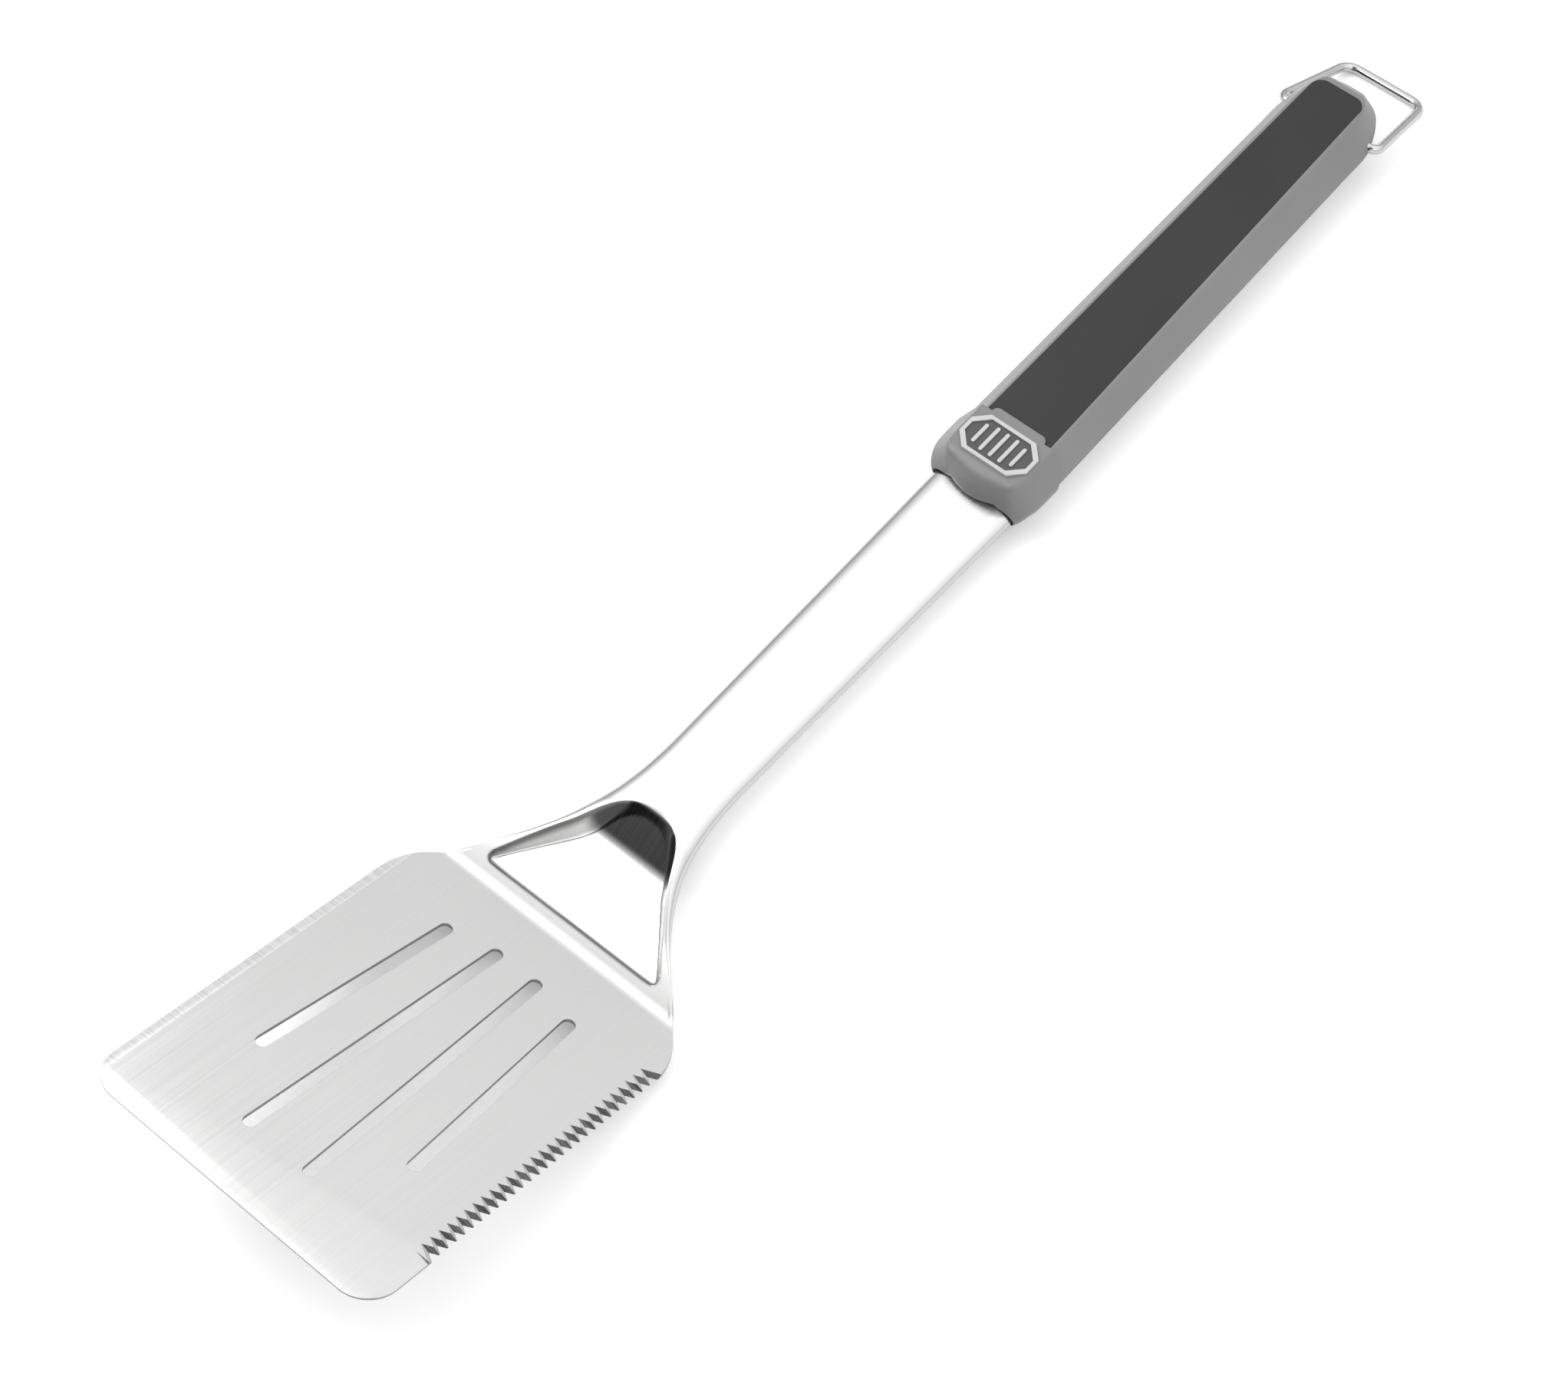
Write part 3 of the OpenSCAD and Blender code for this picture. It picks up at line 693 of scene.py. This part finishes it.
def build_collar():
    stations = [  # x, flat half width, half width, top, crease, low and corner radius
        (COLLAR_FRONT, 9.0, 15.1, 12.3, 9.4, 3.6, 2.2),
        (175.0, 9.7, 15.8, 14.6, 10.0, 2.9, 2.4),
        (176.2, 10.8, 16.7, 18.0, 11.0, 2.0, 2.4),
        (178.0, 11.8, 17.5, 19.5, 11.9, 1.2, 2.2),
        (180.6, 12.5, 18.2, COLLAR_TOP - 0.1, 12.2, 0.6, 2.0),
        (184.0, 12.7, COLLAR_HW, COLLAR_TOP, 12.3, 0.5, 1.8),
        (REAR_LOW_X, 12.7, COLLAR_HW, COLLAR_TOP, 12.3, 0.45, 1.7),
    ]
    rings = []
    for x, flat, hw, top, crease, low, r in catmull(stations, 5):
        ring = []
        for y, z in section(flat, hw, top, crease, low, r):
            nose = NOSE * max(0.0, 1 - (abs(y) / NOSE_HW) ** 2)
            nose *= smooth(3, 9, z) * (1 - smooth(COLLAR_FRONT, 178.5, x))
            ring.append((x - nose, y, z))
        rings.append(ring)
    last = rings[-1]
    for k in range(1, 4):
        rings.append([(lerp(REAR_LOW_X, collar_rear(z), k / 3), y, z) for x, y, z in last])
    for back, share in ((0.0, 0.93), (1.5, 0.93)):
        rings.append([(collar_rear(z) - back, y * share, 10 + (z - 10) * share) for x, y, z in last])
    outer = rings[0]
    opening = [(OPEN_HW, OPEN_LOW), (OPEN_HW, OPEN_HIGH), (-OPEN_HW, OPEN_HIGH), (-OPEN_HW, OPEN_LOW)]
    opening = rounded(opening, OPEN_R, 5)

    def mouth(share, dx):
        """Ring between the outer skin and the opening's wall, moved dx towards the tail."""
        out = []
        for x, y, z in outer:
            wy, wz = towards(opening, (0, 8.0), (y, z))
            out.append((x + dx, lerp(y, wy, share), lerp(z, wz, share)))
        return out

    inner = [mouth(1, 7.0), mouth(1, 0.5), mouth(0.85, 0.1), mouth(0.5, -0.12), mouth(0.2, -0.1)]
    return loft("collar_body", inner + rings, smooth_deg=42)


dress(build_collar(), "spatula", "collar", COLLAR, "collar")


TONGUE_HW, TONGUE_END, TONGUE_R = 9.4, 196.7, 2.0


def build_tongue():
    """Tab of the collar that laps over the front of the inlay."""
    outline = [(REAR_LOW_X, -TONGUE_HW)]
    for side, start in ((-1, -90), (1, 0)):
        for a in np.radians(np.linspace(start, start + 90, 9)):
            outline.append((TONGUE_END + TONGUE_R * (math.cos(a) - 1),
                            side * (TONGUE_HW - TONGUE_R) + TONGUE_R * math.sin(a)))
    outline.append((REAR_LOW_X, TONGUE_HW))
    rings = [[(x, y, z) for x, y in outline] for z in (HANDLE_TOP, COLLAR_TOP - 0.02)]
    obj = loft("collar_tongue", rings, smooth_deg=30)
    bevel(obj, 0.35, 3, 50)
    return obj


dress(build_tongue(), "spatula", "collar", COLLAR)

# ---------- plaque, core and rivets: CAD nodes with finished materials ----------
FINISHES = {"plaque_rim": PLAQUE, "plaque_field": FIELD, "plaque_bars": PLAQUE,
            "handle_core": CORE, "tang_rivets": EDGE_STEEL_PAINTED_SHADE}
for name, material in FINISHES.items():
    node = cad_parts[name]
    node.data.materials.clear()
    node.data.materials.append(material)
    if name.startswith("plaque"):
        bevel(node, 0.12, 2, 40)


# ---------- hanging loop ----------
LOOP_HW, LOOP_END_HW = 17.6, 14.0
BEND_R, CORNER_R = 2.8, 5.0
PIN_Y = 8.0


def arc_corner(a, b, c, r, n=12):
    """Points of the true circular arc of radius r that rounds corner b."""
    a, b, c = (np.array(p, float) for p in (a, b, c))
    u, v = (a - b) / np.linalg.norm(a - b), (c - b) / np.linalg.norm(c - b)
    half = math.acos(float(u @ v)) / 2
    cut = r / math.tan(half)
    m = b + (u + v) / np.linalg.norm(u + v) * r / math.sin(half)
    s, e = b + u * cut - m, b + v * cut - m
    total = math.acos(float(s @ e) / r / r)
    return [tuple(m + (math.sin((1 - t) * total) * s + math.sin(t * total) * e) / math.sin(total))
            for t in (i / n for i in range(n + 1))]


def build_loop():
    droop = math.asin((PIVOT_Z - WIRE_R) / LOOP_L)
    half = [(0, PIN_Y), (0, LOOP_HW), (LOOP_L, LOOP_END_HW)]
    corners = half + [(s, -y) for s, y in reversed(half)]
    radii = [BEND_R, CORNER_R, CORNER_R, BEND_R]
    path = [corners[0]]
    for i, r in enumerate(radii, 1):
        path += arc_corner(corners[i - 1], corners[i], corners[i + 1], r)
    path.append(corners[-1])
    fine = []
    for a, b in zip(path, path[1:]):
        steps = max(1, int(math.dist(a, b) / 3))
        fine += [(lerp(a[0], b[0], i / steps), lerp(a[1], b[1], i / steps)) for i in range(steps)]
    fine.append(path[-1])
    world = [np.array((PIVOT_X + s * math.cos(droop), y, PIVOT_Z - s * math.sin(droop))) for s, y in fine]
    across = np.array((math.sin(droop), 0, math.cos(droop)))
    rings = []
    for i, p in enumerate(world):
        t = world[min(i + 1, len(world) - 1)] - world[max(i - 1, 0)]
        t = t / np.linalg.norm(t)
        side = np.cross(t, across)
        rings.append([tuple(p + WIRE_R * (math.cos(a) * side + math.sin(a) * across))
                      for a in np.linspace(0, 2 * math.pi, 25)[:-1]])
    return loft("wire_loop", rings, smooth_deg=50)


dress(build_loop(), "loop", "chrome_wire", WIRE_STEEL, "hanging_loop")

# ---------- floor, light and camera ----------

def build_floor():
    size = 12.0
    verts = [(-size, -size, 0), (size, -size, 0), (size, size, 0), (-size, size, 0)]
    mesh = bpy.data.meshes.new("floor")
    mesh.from_pydata(verts, [], [(0, 1, 2, 3)])
    obj = bpy.data.objects.new("floor", mesh)
    bpy.context.scene.collection.objects.link(obj)
    n = Nodes("floor_white")
    n.bsdf.inputs["Roughness"].default_value = 0.9
    n.bsdf.inputs["Specular IOR Level"].default_value = 0.1
    n.bsdf.inputs["Base Color"].default_value = (0.90, 0.90, 0.90, 1)
    n.bsdf.inputs["Emission Color"].default_value = (1, 1, 1, 1)
    n.bsdf.inputs["Emission Strength"].default_value = 0.17
    obj.data.materials.append(n.material)


build_floor()


# The tent grows brighter along its line, by the swing either side of its mean. The gap and the lens's
# opening are unlit, and the crest is dimmer; each lies around its own axis.
TENT_RISE = (0.0, -0.35, 1.25)
TENT_MEAN, TENT_SWING = 0.62, 1.30
GAP_AXIS = (-0.8, 0.1, 0.3)
LENS_AXIS = (-0.48, -0.30, 0.82)
CREST_AXIS = (-0.12, -0.12, 1.0)


def build_world():
    """Soft tent of light, brighter overhead, with a dark gap low down in front of the blade, a small one for
    the lens and a dimmer crest. Past the floor's edge the camera sees plain white."""
    world = bpy.data.worlds.new("studio")
    bpy.context.scene.world = world
    world.use_nodes = True
    tree = world.node_tree
    out = tree.nodes["Background"]
    direction = tree.nodes.new("ShaderNodeTexCoord").outputs["Generated"]

    def along_axis(axis):
        """Cosine of the angle between a direction and the axis."""
        node = tree.nodes.new("ShaderNodeVectorMath")
        node.operation = "DOT_PRODUCT"
        node.inputs[1].default_value = Vector(axis).normalized()
        tree.links.new(direction, node.inputs[0])
        return node.outputs["Value"]

    def ranged(value, a, b, low, high, kind="LINEAR"):
        node = tree.nodes.new("ShaderNodeMapRange")
        node.interpolation_type = kind
        for key, number in (("From Min", a), ("From Max", b), ("To Min", low), ("To Max", high)):
            node.inputs[key].default_value = number
        tree.links.new(value, node.inputs["Value"])
        return node.outputs["Result"]

    tent = ranged(along_axis(TENT_RISE), -1, 1, TENT_MEAN - TENT_SWING, TENT_MEAN + TENT_SWING)
    gap = ranged(along_axis(GAP_AXIS), 0.845, 0.905, 1.0, 0.03, "SMOOTHSTEP")
    opening = ranged(along_axis(LENS_AXIS), 0.945, 0.98, 1.0, 0.03, "SMOOTHSTEP")

    def joined(operation, a, b):
        node = tree.nodes.new("ShaderNodeMath")
        node.operation = operation
        tree.links.new(a, node.inputs[0])
        tree.links.new(b, node.inputs[1])
        return node.outputs[0]

    crest = ranged(along_axis(CREST_AXIS), 0.94, 0.99, 1.0, 0.5, "SMOOTHSTEP")
    light = joined("MULTIPLY", joined("MULTIPLY", tent, gap), joined("MULTIPLY", opening, crest))
    seen = tree.nodes.new("ShaderNodeLightPath").outputs["Is Camera Ray"]
    tree.links.new(joined("MAXIMUM", light, seen), out.inputs["Strength"])
    out.inputs["Color"].default_value = (1, 1, 1, 1)


build_world()


def area(name, location, target, size, power):
    light = bpy.data.lights.new(name, "AREA")
    light.shape = "DISK"
    light.size = size
    light.energy = power
    obj = bpy.data.objects.new(name, light)
    bpy.context.scene.collection.objects.link(obj)
    obj.location = location
    obj.rotation_euler = (Vector(target) - Vector(location)).to_track_quat("-Z", "Y").to_euler()


area("key", (-0.10, 0.45, 0.55), (0.08, 0, 0), 0.5, 2.6)

# Camera: where it stands, the way it looks and the way its right side points.
EYE = Vector((-0.37743, -0.36041, 0.83581))
AIM = Vector((0.35395, 0.37390, -0.85723))
RIGHT = Vector((0.6526, -0.7553, -0.0600))
LENS, SENSOR = 80.92, 36.0

camera_data = bpy.data.cameras.new("camera")
camera_data.lens = LENS
camera_data.sensor_width = SENSOR
camera_data.sensor_fit = "HORIZONTAL"
camera_data.clip_start = 0.05
camera_data.clip_end = 20
camera = bpy.data.objects.new("camera", camera_data)
bpy.context.scene.collection.objects.link(camera)
forward = AIM.normalized()
right = (RIGHT - forward * RIGHT.dot(forward)).normalized()
up = right.cross(forward)
camera.matrix_world = Matrix(((right.x, up.x, -forward.x, EYE.x), (right.y, up.y, -forward.y, EYE.y),
                              (right.z, up.z, -forward.z, EYE.z), (0, 0, 0, 1)))
bpy.context.scene.camera = camera
bpy.context.scene.view_settings.view_transform = "Standard"
